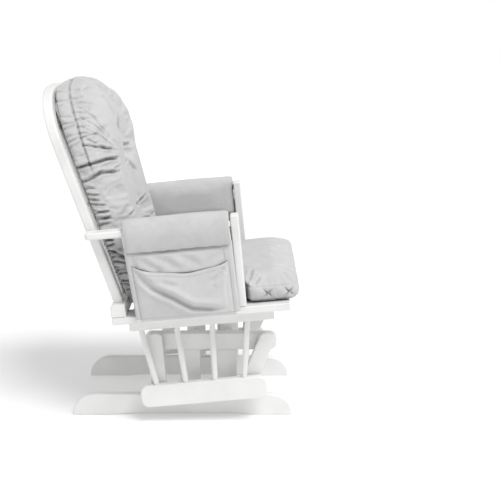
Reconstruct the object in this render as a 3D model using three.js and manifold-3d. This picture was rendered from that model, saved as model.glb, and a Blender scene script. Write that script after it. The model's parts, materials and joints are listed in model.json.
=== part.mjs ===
// A gliding nursery chair in painted wood, with tied-on cushions, padded arms and side pockets.
// Units are millimetres. The chair faces -Y, +Z is up and +X is the sitter's left.
// It stands at rest as it hangs when nobody sits in it: glided back a little, with its front raised.

import * as THREE from "three";
import { mergeVertices } from "three/addons/utils/BufferGeometryUtils.js";
import Module from "manifold-3d";

const wasm = await Module();
wasm.setup();

// ---------------------------------------------------------------- driving dimensions

const GAP = 0.3; // glue line or running gap between pieces that meet
const EASE = 2.5; // rounding sanded onto every board edge
const SIDES = [
  ["right", -1],
  ["left", 1],
];

// The base: two runners, each with two uprights and a top rail.
const BASE_MID = -90; // Y of the middle between the two upper pivots
const RUNNER = { front: -338, rear: 340, height: 69, thick: 22, out: 164.5, sweep: 74 };
const RUNNER_FEET = { pad: 130, arch: 5, archEase: 20, archRun: 60, toe: 6 };
const UPRIGHT = { wide: 62, thick: 22, front: -138, rear: -26 };
const TOP_RAIL = { bottom: 217, height: 53, length: 400, thick: 28, out: 169, corner: 20 };
const CROSS_BOARD = { thick: 20, height: 88, bottom: 84 };

// The glide linkage, seen from the side.
const PIVOT_HEIGHT = 254;
const PIVOT_SPAN = 336;
const ARM_LENGTH = 162;
const REAR_ARM_LEAN = 3.9; // degrees from plumb at rest
const FRONT_ARM_LEAN = 22.4;
const SWING_ARM = { wide: 47, thick: 20, out: 200.5, corner: 17 };
const PIN = { radius: 5, bore: 5.6, openBore: 8.6, head: 9, flange: 14, blind: 14 };

// The seat is built level on its own group, which is tilted at rest.
const SEAT_TILT = 5.2;
const SEAT_HEIGHT = 371.4; // top of the side rails above the floor, over Y = 0
const SIDE_RAIL = { rear: 192, front: -326, inner: 224, outer: 300, thick: 22 };
const SPINDLE_RAIL = { rear: 153.5, front: -276.5, out: 230, thick: 24, height: 41.5 };
const GLIDE_BOARD = { rear: 145, front: -236, top: -240, height: 69, out: 230, thick: 24, corner: 24 };
const SPINDLE = { radius: 8.6, middle: -38, topStep: 106, footStep: 88.5, count: 4 };
const FRONT_RAIL = { deep: 70 };
const REAR_RAIL = { rear: 192, deep: 43, height: 38.5, corner: 7 };
const DECK = { thick: 12, drop: 4, rear: 140 };

// The back: a hoop leaning back, with slats between its posts.
const BACK_LEAN = 13.6; // degrees behind square to the seat
const HOOP = { half: 273, wide: 30, thick: 28.8, rearFoot: 185.4, spring: 498, top: 665, round: 2.35 };
const SLAT = { count: 5, wide: 38, thick: 12, step: 81 };

// The arms: a board, its front post and two slim struts that carry the side cloth.
const ARM_BOARD = { rear: 236, front: -176, inner: 274, outer: 320, bottom: 239, thick: 20, corner: 12 };
const FRONT_POST = { rear: -176.5, deep: 24, inner: 254, outer: 300, height: 270 };
const STRUT = {
  radius: 8, out: 309.5, foot: -12, rearFoot: 109, rearTop: 124, frontFoot: -172, frontTop: -166,
};

// The soft goods, as plain solids.
const ARM_PAD = {
  rear: 127, front: -174.5, inner: 262, outer: 333, bottom: 190, innerBottom: 163, top: 286, corner: 24,
};
const SIDE_CLOTH = { rearFoot: 121, rearTop: 137, front: -181, foot: -10, top: 188.5, out: 319, thick: 3 };
const POCKET = { mouth: 152, sag: 25, belly: 16, fullness: 0.7, thick: 3, columns: 10, rows: 5 };
const SEAT_PAD = {
  rear: 60, front: -356, half: 246, wing: 284, wingRear: -206, thick: 72, round: 24, corner: 32,
};
const BACK_PAD = { foot: 46, top: 672, half: 255, spring: 468, thick: 112, round: 34, gap: 2 };
const BACK_FULLNESS = { least: 0.72, swell: 0.55, reach: 0.72 }; // shares of the thickness, foot to top

// Shift that puts the middle of the chair's depth over the origin.
const DEPTH_CENTRE = 20.97;

// ---------------------------------------------------------------- materials

const whitePaint = new THREE.MeshStandardMaterial({ color: 0xf1f1ef, roughness: 0.42, metalness: 0 });
const zincSteel = new THREE.MeshStandardMaterial({ color: 0xb9bcc0, roughness: 0.35, metalness: 1 });
const greyFabric = new THREE.MeshStandardMaterial({ color: 0xc9c9ca, roughness: 0.92, metalness: 0 });

// ---------------------------------------------------------------- small helpers

const radians = THREE.MathUtils.degToRad;

function piece(name, geometry, material, parent) {
  const mesh = new THREE.Mesh(geometry, material);
  mesh.name = name;
  parent.add(mesh);
  return mesh;
}

// A rectangle with one rounding on all corners; x and y are its lowest corner.
function roundedRectangle(x, y, wide, high, corner) {
  const shape = new THREE.Shape();
  shape.moveTo(x + corner, y);
  shape.lineTo(x + wide - corner, y);
  shape.absarc(x + wide - corner, y + corner, corner, -Math.PI / 2, 0);
  shape.lineTo(x + wide, y + high - corner);
  shape.absarc(x + wide - corner, y + high - corner, corner, 0, Math.PI / 2);
  shape.lineTo(x + corner, y + high);
  shape.absarc(x + corner, y + high - corner, corner, Math.PI / 2, Math.PI);
  shape.lineTo(x, y + corner);
  shape.absarc(x + corner, y + corner, corner, Math.PI, Math.PI * 1.5);
  return shape;
}

// A board cut to a flat outline, with eased edges. The outline keeps its true size.
function planed(shape, thick, ease = EASE, curveSegments = 4, bevelSegments = 1) {
  const geometry = new THREE.ExtrudeGeometry(shape, {
    depth: thick - 2 * ease,
    bevelEnabled: true,
    bevelThickness: ease,
    bevelSize: ease,
    bevelOffset: -ease,
    bevelSegments,
    curveSegments,
  });
  return geometry.translate(0, 0, ease - thick / 2);
}

// Stands an outline drawn in (Y, Z) upright, so that its thickness runs along X.
function standing(geometry) {
  return geometry.applyMatrix4(
    new THREE.Matrix4().makeBasis(
      new THREE.Vector3(0, 1, 0),
      new THREE.Vector3(0, 0, 1),
      new THREE.Vector3(1, 0, 0),
    ),
  );
}

// Stands an outline drawn in (X, Z) upright, facing the front, with its thickness along Y.
function facingFront(geometry) {
  return geometry.rotateX(Math.PI / 2);
}

// A straight board or block, eased on every edge.
function block(wide, deep, high, ease = EASE) {
  return planed(roundedRectangle(-wide / 2, -deep / 2, wide, deep, ease + 1), high, ease, 2);
}

// Slides each level of a geometry along Y, so a leaning piece keeps level ends.
function lean(geometry, perHeight) {
  const shear = new THREE.Matrix4().set(1, 0, 0, 0, 0, 1, perHeight, 0, 0, 0, 1, 0, 0, 0, 0, 1);
  return geometry.applyMatrix4(shear);
}

function solidOf(geometry) {
  const bare = geometry.clone();
  bare.deleteAttribute("normal");
  bare.deleteAttribute("uv");
  const merged = mergeVertices(bare, 1e-3);
  return new wasm.Manifold(
    new wasm.Mesh({
      numProp: 3,
      vertProperties: merged.getAttribute("position").array,
      triVerts: new Uint32Array(merged.index.array),
    }),
  );
}

function geometryOf(solid) {
  const mesh = solid.getMesh();
  const geometry = new THREE.BufferGeometry();
  geometry.setAttribute("position", new THREE.BufferAttribute(mesh.vertProperties, 3));
  geometry.setIndex(new THREE.BufferAttribute(mesh.triVerts, 1));
  geometry.computeVertexNormals();
  return geometry;
}

function cut(geometry, ...tools) {
  return geometryOf(tools.reduce((solid, tool) => solid.subtract(solidOf(tool)), solidOf(geometry)));
}

// A round hole along X, from x0 to x1, at (y, z).
function bore(radius, x0, x1, y, z) {
  const tool = new THREE.CylinderGeometry(radius, radius, Math.abs(x1 - x0), 16);
  tool.rotateZ(Math.PI / 2);
  return tool.translate((x0 + x1) / 2, y, z);
}

// ---------------------------------------------------------------- the glide linkage's pivots

const upperRear = { y: BASE_MID + PIVOT_SPAN / 2, z: PIVOT_HEIGHT };
const upperFront = { y: BASE_MID - PIVOT_SPAN / 2, z: PIVOT_HEIGHT };
const lowerRear = hangingFrom(upperRear, -REAR_ARM_LEAN);
const lowerFront = hangingFrom(upperFront, FRONT_ARM_LEAN);

// The lower end of an arm that hangs at an angle; a positive lean puts it further back.
function hangingFrom(pivot, leanDegrees) {
  return {
    y: pivot.y + ARM_LENGTH * Math.sin(radians(leanDegrees)),
    z: pivot.z - ARM_LENGTH * Math.cos(radians(leanDegrees)),
  };
}

// A point of the side view, from the floor's frame into the tilted seat's frame.
function onSeat({ y, z }) {
  const tilt = radians(SEAT_TILT);
  const up = z - SEAT_HEIGHT;
  return {
    y: y * Math.cos(tilt) - up * Math.sin(tilt),
    z: y * Math.sin(tilt) + up * Math.cos(tilt),
  };
}

// ---------------------------------------------------------------- base

function runnerOutline() {
  const { front, rear, height, sweep } = RUNNER;
  const { pad, arch, archEase, archRun, toe } = RUNNER_FEET;
  const shape = new THREE.Shape();
  shape.moveTo(front, 0);
  shape.lineTo(front + pad, 0);
  shape.quadraticCurveTo(front + pad + archEase, arch, front + pad + archRun, arch);
  shape.lineTo(rear - pad - archRun, arch);
  shape.quadraticCurveTo(rear - pad - archEase, arch, rear - pad, 0);
  shape.lineTo(rear, 0);
  shape.absellipse(rear - sweep, toe, sweep, height - toe, 0, Math.PI / 2);
  shape.lineTo(front + sweep, height);
  shape.absellipse(front + sweep, toe, sweep, height - toe, Math.PI / 2, Math.PI);
  return shape;
}

function buildBase(parent) {
  for (const [side, sign] of SIDES) {
    const runner = standing(planed(runnerOutline(), RUNNER.thick, EASE, 8));
    piece(`runner_${side}`, runner, whitePaint, parent).position.x = sign * RUNNER.out;

    const uprightHeight = TOP_RAIL.bottom - RUNNER.height - 2 * GAP;
    for (const end of ["front", "rear"]) {
      const upright = block(UPRIGHT.thick, UPRIGHT.wide, uprightHeight);
      const mesh = piece(`base_upright_${end}_${side}`, upright, whitePaint, parent);
      mesh.position.set(sign * RUNNER.out, UPRIGHT[end], RUNNER.height + GAP + uprightHeight / 2);
    }

    const rail = planed(
      roundedRectangle(
        BASE_MID - TOP_RAIL.length / 2,
        TOP_RAIL.bottom,
        TOP_RAIL.length,
        TOP_RAIL.height,
        TOP_RAIL.corner,
      ),
      TOP_RAIL.thick,
    );
    const through = TOP_RAIL.thick;
    const holes = [upperRear, upperFront].map(({ y, z }) => bore(PIN.bore, -through, through, y, z));
    const mesh = piece(`base_top_rail_${side}`, cut(standing(rail), ...holes), whitePaint, parent);
    mesh.position.x = sign * TOP_RAIL.out;
  }

  for (const end of ["front", "rear"]) {
    const span = 2 * (RUNNER.out - RUNNER.thick / 2 - GAP);
    const board = block(span, CROSS_BOARD.thick, CROSS_BOARD.height);
    const mesh = piece(`base_cross_board_${end}`, board, whitePaint, parent);
    mesh.position.set(0, UPRIGHT[end], CROSS_BOARD.bottom + CROSS_BOARD.height / 2);
  }
}

// ---------------------------------------------------------------- swing arms and their pins

// One arm: a blind hole on its inner face for the upper pin, a through hole for the lower one.
function swingArm(sign, lowerBore) {
  const { wide, thick, corner } = SWING_ARM;
  const outline = roundedRectangle(-wide / 2, -ARM_LENGTH - wide / 2, wide, ARM_LENGTH + wide, corner);
  const inner = (-sign * thick) / 2;
  return cut(
    standing(planed(outline, thick)),
    bore(PIN.bore, inner * 2, inner + sign * PIN.blind, 0, 0),
    bore(lowerBore, -thick, thick, 0, -ARM_LENGTH),
  );
}

// A shouldered pin along X with a bearing flange, turned as one solid. Its head end is at the start.
function pivotPin(headThick, toFlange, flangeThick, total) {
  const outline = [
    [0, 0],
    [PIN.head, 0],
    [PIN.head, headThick],
    [PIN.radius, headThick],
    [PIN.radius, toFlange],
    [PIN.flange, toFlange],
    [PIN.flange, toFlange + flangeThick],
    [PIN.radius, toFlange + flangeThick],
    [PIN.radius, total],
    [0, total],
  ];
  const pin = new THREE.LatheGeometry(
    outline.map(([radius, along]) => new THREE.Vector2(radius, along)),
    16,
  );
  return pin.rotateZ(-Math.PI / 2);
}

// Turns a pin made along +X towards the outside of its own side and places its head end.
function placePin(name, pin, sign, headOut, { y, z }, parent) {
  const mesh = piece(name, pin, zincSteel, parent);
  mesh.rotation.z = sign > 0 ? 0 : Math.PI;
  mesh.position.set(sign * headOut, y, z);
}

function buildArmsAndPins(parent, seat) {
  const railInner = TOP_RAIL.out - TOP_RAIL.thick / 2;
  const railOuter = TOP_RAIL.out + TOP_RAIL.thick / 2;
  const armInner = SWING_ARM.out - SWING_ARM.thick / 2;
  const armOuter = SWING_ARM.out + SWING_ARM.thick / 2;
  const boardInner = GLIDE_BOARD.out - GLIDE_BOARD.thick / 2;
  const headThick = 4.5;
  const ends = [
    ["rear", upperRear, lowerRear, -REAR_ARM_LEAN, PIN.bore],
    ["front", upperFront, lowerFront, FRONT_ARM_LEAN, PIN.openBore],
  ];

  for (const [side, sign] of SIDES) {
    for (const [end, upper, lower, leanDegrees, lowerBore] of ends) {
      const arm = piece(`swing_arm_${end}_${side}`, swingArm(sign, lowerBore), whitePaint, parent);
      arm.position.set(sign * SWING_ARM.out, upper.y, upper.z);
      arm.rotation.x = radians(leanDegrees);

      const upperHead = railInner - headThick - GAP;
      const upperPin = pivotPin(
        headThick,
        railOuter + GAP - upperHead,
        armInner - railOuter - 2.5 * GAP,
        armInner + PIN.blind - 1 - upperHead,
      );
      placePin(`upper_pin_${end}_${side}`, upperPin, sign, upperHead, upper, parent);

      const lowerHead = armInner - headThick - 1;
      const lowerPin = pivotPin(
        headThick,
        armOuter + 1.5 * GAP - lowerHead,
        boardInner - armOuter - 2.5 * GAP,
        boardInner + PIN.blind - 1 - lowerHead,
      );
      placePin(`lower_pin_${end}_${side}`, lowerPin, sign, lowerHead, onSeat(lower), seat);
    }
  }
}

// ---------------------------------------------------------------- seat frame

function spindle(topShift, height) {
  const outline = [
    [0, 0],
    [SPINDLE.radius - 1, 0],
    [SPINDLE.radius, 12],
    [SPINDLE.radius + 0.9, height / 2],
    [SPINDLE.radius, height - 12],
    [SPINDLE.radius - 1, height],
    [0, height],
  ];
  const turned = new THREE.LatheGeometry(
    outline.map(([radius, along]) => new THREE.Vector2(radius, along)),
    14,
  );
  return lean(turned.rotateX(Math.PI / 2), topShift / height);
}

function buildSeatFrame(seat) {
  const railWide = SIDE_RAIL.outer - SIDE_RAIL.inner;
  const railLong = SIDE_RAIL.rear - SIDE_RAIL.front;
  const railMid = (SIDE_RAIL.rear + SIDE_RAIL.front) / 2;
  const spindleRailLong = SPINDLE_RAIL.rear - SPINDLE_RAIL.front;
  const spindleRailTop = -SIDE_RAIL.thick - GAP;
  const spindleTop = spindleRailTop - SPINDLE_RAIL.height - GAP;
  const spindleHeight = spindleTop - GLIDE_BOARD.top - GAP;

  for (const [side, sign] of SIDES) {
    const rail = block(railWide, railLong, SIDE_RAIL.thick);
    const railMesh = piece(`seat_side_rail_${side}`, rail, whitePaint, seat);
    railMesh.position.set(sign * (SIDE_RAIL.inner + railWide / 2), railMid, -SIDE_RAIL.thick / 2);

    const under = block(SPINDLE_RAIL.thick, spindleRailLong, SPINDLE_RAIL.height);
    const underMesh = piece(`spindle_rail_${side}`, under, whitePaint, seat);
    underMesh.position.set(
      sign * SPINDLE_RAIL.out,
      (SPINDLE_RAIL.rear + SPINDLE_RAIL.front) / 2,
      spindleRailTop - SPINDLE_RAIL.height / 2,
    );

    const outline = roundedRectangle(
      GLIDE_BOARD.front,
      GLIDE_BOARD.top - GLIDE_BOARD.height,
      GLIDE_BOARD.rear - GLIDE_BOARD.front,
      GLIDE_BOARD.height,
      GLIDE_BOARD.corner,
    );
    const inner = (-sign * GLIDE_BOARD.thick) / 2;
    const sockets = [lowerRear, lowerFront].map((pivot) => {
      const { y, z } = onSeat(pivot);
      return bore(PIN.bore, inner * 2, inner + sign * PIN.blind, y, z);
    });
    const board = cut(standing(planed(outline, GLIDE_BOARD.thick)), ...sockets);
    piece(`glide_board_${side}`, board, whitePaint, seat).position.x = sign * GLIDE_BOARD.out;

    for (let i = 0; i < SPINDLE.count; i++) {
      const place = i - (SPINDLE.count - 1) / 2;
      const foot = SPINDLE.middle - place * SPINDLE.footStep;
      const top = SPINDLE.middle - place * SPINDLE.topStep;
      const mesh = piece(`spindle_${side}_${i + 1}`, spindle(top - foot, spindleHeight), whitePaint, seat);
      mesh.position.set(sign * SPINDLE_RAIL.out, foot, GLIDE_BOARD.top + GAP);
    }
  }

  const between = 2 * (SIDE_RAIL.inner - GAP);
  const frontRail = block(between, FRONT_RAIL.deep, SIDE_RAIL.thick);
  const frontMid = SIDE_RAIL.front + FRONT_RAIL.deep / 2;
  piece("seat_front_rail", frontRail, whitePaint, seat).position.set(0, frontMid, -SIDE_RAIL.thick / 2);

  const rearOutline = new THREE.Shape();
  rearOutline.moveTo(REAR_RAIL.rear - REAR_RAIL.deep, GAP);
  rearOutline.lineTo(REAR_RAIL.rear, GAP);
  rearOutline.lineTo(REAR_RAIL.rear, REAR_RAIL.height - REAR_RAIL.corner);
  rearOutline.lineTo(REAR_RAIL.rear - REAR_RAIL.corner, REAR_RAIL.height);
  rearOutline.lineTo(REAR_RAIL.rear - REAR_RAIL.deep, REAR_RAIL.height);
  piece("seat_rear_rail", standing(planed(rearOutline, 2 * SIDE_RAIL.outer)), whitePaint, seat);

  const deckFront = SIDE_RAIL.front + FRONT_RAIL.deep + GAP;
  const deck = block(between, DECK.rear - deckFront, DECK.thick, 1);
  const deckMesh = piece("seat_deck", deck, whitePaint, seat);
  deckMesh.position.set(0, (DECK.rear + deckFront) / 2, -DECK.drop - DECK.thick / 2);
}

// ---------------------------------------------------------------- back

// Height of the hoop's curve above the seat at a distance x from the middle.
function archHeight(x, half, spring, top, round) {
  const across = Math.min(Math.abs(x) / half, 1);
  return spring + (top - spring) * (1 - across ** round) ** (1 / round);
}

// The points of the hoop's curve from one spring line to the other, closer where it bends most.
function archPoints(half, spring, top, round, steps) {
  const points = [];
  for (let i = 0; i <= steps; i++) {
    const x = half * Math.cos((Math.PI * i) / steps);
    points.push(new THREE.Vector2(x, archHeight(x, half, spring, top, round)));
  }
  return points;
}

function buildBack(seat) {
  const { half, wide, thick, spring, top, round } = HOOP;
  const backLean = Math.tan(radians(BACK_LEAN));
  const foot = REAR_RAIL.height + GAP;
  const middle = HOOP.rearFoot - thick / 2 - REAR_RAIL.height * backLean;

  const outside = archPoints(half, spring, top, round, 30);
  const inside = archPoints(half - wide, spring, top - wide, round, 30).reverse();
  const hoopShape = new THREE.Shape([
    new THREE.Vector2(half, foot),
    ...outside,
    new THREE.Vector2(-half, foot),
    new THREE.Vector2(wide - half, foot),
    ...inside,
    new THREE.Vector2(half - wide, foot),
  ]);
  const hoop = lean(facingFront(planed(hoopShape, thick, 5, 1, 2)), backLean);
  piece("back_hoop", hoop, whitePaint, seat).position.y = middle;

  for (let i = 0; i < SLAT.count; i++) {
    const x = (i - (SLAT.count - 1) / 2) * SLAT.step;
    const edges = [x + SLAT.wide / 2, x, x - SLAT.wide / 2];
    const slatShape = new THREE.Shape([
      new THREE.Vector2(x - SLAT.wide / 2, foot),
      new THREE.Vector2(x + SLAT.wide / 2, foot),
      ...edges.map((edge) => {
        const arch = archHeight(edge, half - wide, spring, top - wide, round);
        return new THREE.Vector2(edge, arch - 2 * GAP);
      }),
    ]);
    const slat = lean(facingFront(planed(slatShape, SLAT.thick)), backLean);
    piece(`back_slat_${i + 1}`, slat, whitePaint, seat).position.y = middle;
  }
}

// ---------------------------------------------------------------- arms

function buildArms(seat) {
  const boardWide = ARM_BOARD.outer - ARM_BOARD.inner;
  for (const [side, sign] of SIDES) {
    const boardOutline = roundedRectangle(
      -boardWide / 2,
      ARM_BOARD.front,
      boardWide,
      ARM_BOARD.rear - ARM_BOARD.front,
      ARM_BOARD.corner,
    );
    const board = piece(`arm_board_${side}`, planed(boardOutline, ARM_BOARD.thick, 4), whitePaint, seat);
    board.position.set(sign * (ARM_BOARD.inner + boardWide / 2), 0, ARM_BOARD.bottom + ARM_BOARD.thick / 2);

    const postWide = FRONT_POST.outer - FRONT_POST.inner;
    const post = block(postWide, FRONT_POST.deep, FRONT_POST.height - GAP, 3);
    const postMesh = piece(`front_post_${side}`, post, whitePaint, seat);
    postMesh.position.set(
      sign * (FRONT_POST.inner + postWide / 2),
      FRONT_POST.rear - FRONT_POST.deep / 2,
      GAP + (FRONT_POST.height - GAP) / 2,
    );

    const strutHeight = ARM_BOARD.bottom - GAP - STRUT.foot;
    for (const end of ["front", "rear"]) {
      const foot = STRUT[`${end}Foot`];
      const strut = new THREE.CylinderGeometry(STRUT.radius, STRUT.radius, strutHeight, 14);
      strut.rotateX(Math.PI / 2).translate(0, 0, strutHeight / 2);
      const mesh = piece(
        `arm_strut_${end}_${side}`,
        lean(strut, (STRUT[`${end}Top`] - foot) / strutHeight),
        whitePaint,
        seat,
      );
      mesh.position.set(sign * STRUT.out, foot, STRUT.foot);
    }
  }
}

// ---------------------------------------------------------------- soft goods

// The arm pad is a thick saddle: a rounded top over the arm board and a flap down each side,
// the longer one inside.
function armPad() {
  const wide = ARM_PAD.outer - ARM_PAD.inner;
  const slot = ARM_BOARD.outer - ARM_BOARD.inner + 2 * GAP + 1;
  const flap = (wide - slot) / 2;
  const channelTop = ARM_BOARD.bottom + ARM_BOARD.thick + 1;
  const half = wide / 2;
  const shape = new THREE.Shape();
  shape.moveTo(-half, ARM_PAD.innerBottom);
  shape.lineTo(flap - half, ARM_PAD.innerBottom);
  shape.lineTo(flap - half, channelTop);
  shape.lineTo(half - flap, channelTop);
  shape.lineTo(half - flap, ARM_PAD.bottom);
  shape.lineTo(half, ARM_PAD.bottom);
  shape.lineTo(half, ARM_PAD.top - ARM_PAD.corner);
  shape.absarc(half - ARM_PAD.corner, ARM_PAD.top - ARM_PAD.corner, ARM_PAD.corner, 0, Math.PI / 2);
  shape.lineTo(ARM_PAD.corner - half, ARM_PAD.top);
  shape.absarc(ARM_PAD.corner - half, ARM_PAD.top - ARM_PAD.corner, ARM_PAD.corner, Math.PI / 2, Math.PI);
  const saddle = planed(shape, ARM_PAD.rear - ARM_PAD.front, 4);
  return facingFront(saddle).translate(0, (ARM_PAD.rear + ARM_PAD.front) / 2, 0);
}

// A closed sheet between an outer surface and the same surface moved in by a thickness.
function thickSheet(columns, rows, outerAt, thick) {
  const positions = [];
  const index = [];
  const layer = (columns + 1) * (rows + 1);
  for (const inward of [0, thick]) {
    for (let r = 0; r <= rows; r++) {
      for (let c = 0; c <= columns; c++) {
        const { x, y, z } = outerAt(c / columns, r / rows);
        positions.push(x - inward, y, z);
      }
    }
  }
  const at = (c, r, back) => back * layer + r * (columns + 1) + c;
  const quad = (a, b, c, d) => index.push(a, b, c, a, c, d);
  for (let r = 0; r < rows; r++) {
    for (let c = 0; c < columns; c++) {
      quad(at(c, r, 0), at(c + 1, r, 0), at(c + 1, r + 1, 0), at(c, r + 1, 0));
      quad(at(c, r, 1), at(c, r + 1, 1), at(c + 1, r + 1, 1), at(c + 1, r, 1));
    }
    quad(at(0, r, 0), at(0, r + 1, 0), at(0, r + 1, 1), at(0, r, 1));
    quad(at(columns, r, 0), at(columns, r, 1), at(columns, r + 1, 1), at(columns, r + 1, 0));
  }
  for (let c = 0; c < columns; c++) {
    quad(at(c, 0, 0), at(c, 0, 1), at(c + 1, 0, 1), at(c + 1, 0, 0));
    quad(at(c, rows, 0), at(c + 1, rows, 0), at(c + 1, rows, 1), at(c, rows, 1));
  }
  const geometry = new THREE.BufferGeometry();
  geometry.setAttribute("position", new THREE.Float32BufferAttribute(positions, 3));
  geometry.setIndex(index);
  return geometry;
}

// The side cloth hangs outside the struts, with a pocket sewn to it on three sides.
function sideCloth() {
  const { rearFoot, rearTop, front, foot, top, out, thick } = SIDE_CLOTH;
  const rearAt = (z) => rearFoot + ((rearTop - rearFoot) * (z - foot)) / (top - foot);
  const cloth = thickSheet(
    1,
    1,
    (across, up) => {
      const z = foot + (top - foot) * up;
      return { x: out + thick, y: front + (rearAt(z) - front) * across, z };
    },
    thick,
  );
  const pocket = thickSheet(
    POCKET.columns,
    POCKET.rows,
    (across, up) => {
      const mouth = POCKET.mouth - POCKET.sag * Math.sin(Math.PI * across);
      const z = foot + (mouth - foot) * up;
      const swell = Math.sin(Math.PI * across) ** POCKET.fullness * Math.sin((Math.PI / 2) * up);
      return {
        x: out + thick + 1 + POCKET.belly * swell,
        y: front + (rearAt(z) - front) * across,
        z,
      };
    },
    POCKET.thick,
  );
  return geometryOf(solidOf(cloth).add(solidOf(pocket)));
}

// The side cloth for the other side of the chair.
function mirrored(geometry) {
  const copy = geometry.clone().scale(-1, 1, 1);
  const order = copy.index.array;
  for (let i = 0; i < order.length; i += 3) {
    [order[i + 1], order[i + 2]] = [order[i + 2], order[i + 1]];
  }
  return copy;
}

// The seat cushion is T-shaped: narrow between the front posts and wider in front of them.
function seatPad() {
  const { rear, front, half, wing, wingRear, thick, round, corner } = SEAT_PAD;
  const shape = new THREE.Shape();
  shape.moveTo(half, rear - corner);
  shape.absarc(half - corner, rear - corner, corner, 0, Math.PI / 2);
  shape.lineTo(corner - half, rear);
  shape.absarc(corner - half, rear - corner, corner, Math.PI / 2, Math.PI);
  shape.lineTo(-half, wingRear);
  shape.absarc(corner - wing, wingRear - corner, corner, Math.PI / 2, Math.PI);
  shape.lineTo(-wing, front + corner);
  shape.absarc(corner - wing, front + corner, corner, Math.PI, Math.PI * 1.5);
  shape.lineTo(wing - corner, front);
  shape.absarc(wing - corner, front + corner, corner, Math.PI * 1.5, Math.PI * 2);
  shape.lineTo(wing, wingRear - corner);
  shape.absarc(wing - corner, wingRear - corner, corner, 0, Math.PI / 2);
  shape.lineTo(half, wingRear);
  return planed(shape, thick, round, 3, 2).translate(0, 0, thick / 2 + 1.2);
}

// The back cushion fills the hoop; it is thin at its foot and full behind the shoulders.
function backPad() {
  const { foot, top, half, spring, thick, round, gap } = BACK_PAD;
  const outline = archPoints(half, spring, top, HOOP.round, 18);
  const feet = [new THREE.Vector2(half, foot), new THREE.Vector2(-half, foot)];
  const shape = new THREE.Shape([feet[0], ...outline, feet[1]]);
  const pad = facingFront(planed(shape, thick, round, 1, 2)).translate(0, -thick / 2, 0);
  const positions = pad.getAttribute("position");
  const { least, swell, reach } = BACK_FULLNESS;
  for (let i = 0; i < positions.count; i++) {
    const height = (positions.getZ(i) - foot) / (top - foot);
    const fullness = least + swell * Math.sin(Math.PI * Math.min(height * reach, 1));
    positions.setY(i, positions.getY(i) * fullness);
  }
  const backLean = Math.tan(radians(BACK_LEAN));
  const hoopFront = HOOP.rearFoot - HOOP.thick - REAR_RAIL.height * backLean;
  return lean(pad, backLean).translate(0, hoopFront - gap, 0);
}

function buildSoftGoods(seat) {
  const cloth = sideCloth();
  for (const [side, sign] of SIDES) {
    const pad = piece(`arm_pad_${side}`, armPad(), greyFabric, seat);
    pad.position.x = sign * ((ARM_PAD.inner + ARM_PAD.outer) / 2);
    pad.scale.x = sign;
    piece(`side_pocket_${side}`, sign > 0 ? cloth : mirrored(cloth), greyFabric, seat);
  }
  piece("seat_cushion", seatPad(), greyFabric, seat);
  piece("back_cushion", backPad(), greyFabric, seat);
}

// ---------------------------------------------------------------- assembly

const chair = new THREE.Group();
chair.position.y = -DEPTH_CENTRE;

const seat = new THREE.Group();
seat.position.z = SEAT_HEIGHT;
seat.rotation.x = -radians(SEAT_TILT);
chair.add(seat);

buildBase(chair);
buildArmsAndPins(chair, seat);
buildSeatFrame(seat);
buildBack(seat);
buildArms(seat);
buildSoftGoods(seat);

export default chair;
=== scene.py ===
# %% [markdown]
# # A gliding nursery chair
# The chair stands on two runners. Its seat hangs from four flat swing arms and glides fore and aft.
# The frame is the carpenter's drawing: every board, pin and rail is already in it, in metres.
# This lesson finishes the boards, and sews the cushions, arm pads and side pockets round them.

# %% The frame
import json
import math
import bmesh
import bpy
import numpy as np
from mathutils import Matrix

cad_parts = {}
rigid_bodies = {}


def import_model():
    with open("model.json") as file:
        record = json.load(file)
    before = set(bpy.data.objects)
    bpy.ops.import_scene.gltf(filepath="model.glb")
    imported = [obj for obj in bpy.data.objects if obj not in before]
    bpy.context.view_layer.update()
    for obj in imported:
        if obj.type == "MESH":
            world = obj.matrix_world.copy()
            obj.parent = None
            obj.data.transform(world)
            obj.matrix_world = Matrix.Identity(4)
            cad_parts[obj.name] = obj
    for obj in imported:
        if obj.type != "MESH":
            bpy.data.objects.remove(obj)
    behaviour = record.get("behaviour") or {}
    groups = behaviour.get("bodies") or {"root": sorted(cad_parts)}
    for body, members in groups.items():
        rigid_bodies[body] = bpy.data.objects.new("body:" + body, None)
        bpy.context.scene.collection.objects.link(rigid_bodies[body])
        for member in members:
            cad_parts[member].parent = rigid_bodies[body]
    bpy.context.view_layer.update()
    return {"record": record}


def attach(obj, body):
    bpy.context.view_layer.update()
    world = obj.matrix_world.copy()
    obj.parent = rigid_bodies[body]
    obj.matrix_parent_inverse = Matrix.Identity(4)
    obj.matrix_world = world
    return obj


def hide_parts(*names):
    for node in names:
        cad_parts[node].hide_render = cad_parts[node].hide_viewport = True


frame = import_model()

# %% [markdown]
# A product like this is shown on a white sweep, with soft light from all round. The key light is a softbox so
# big and far off that it lights the floor evenly, so it is made as a sun with a wide angle.
# The camera stands at the chair's right, a little above the arms, and looks straight across the seat.

# %% Colour codes
def linear(code):
    """A paint code such as "F4F4F2" as the linear colour that a shader reads."""
    parts = [int(code[k : k + 2], 16) / 255 for k in (0, 2, 4)]
    return [c / 12.92 if c <= 0.04045 else ((c + 0.055) / 1.055) ** 2.4 for c in parts] + [1.0]


def add(tree, kind, inputs=None, **settings):
    """Adds one node: settings are its own, and each input is a plain value or the socket it is fed from."""
    node = tree.nodes.new(kind)
    for key, value in settings.items():
        setattr(node, key, value)
    for key, value in (inputs or {}).items():
        if isinstance(value, bpy.types.NodeSocket):
            tree.links.new(value, node.inputs[key])
        else:
            node.inputs[key].default_value = value
    return node


def material(name):
    """An empty material and its node tree."""
    made = bpy.data.materials.new(name)
    made.use_nodes = True
    made.node_tree.nodes.clear()
    return made, made.node_tree


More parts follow.
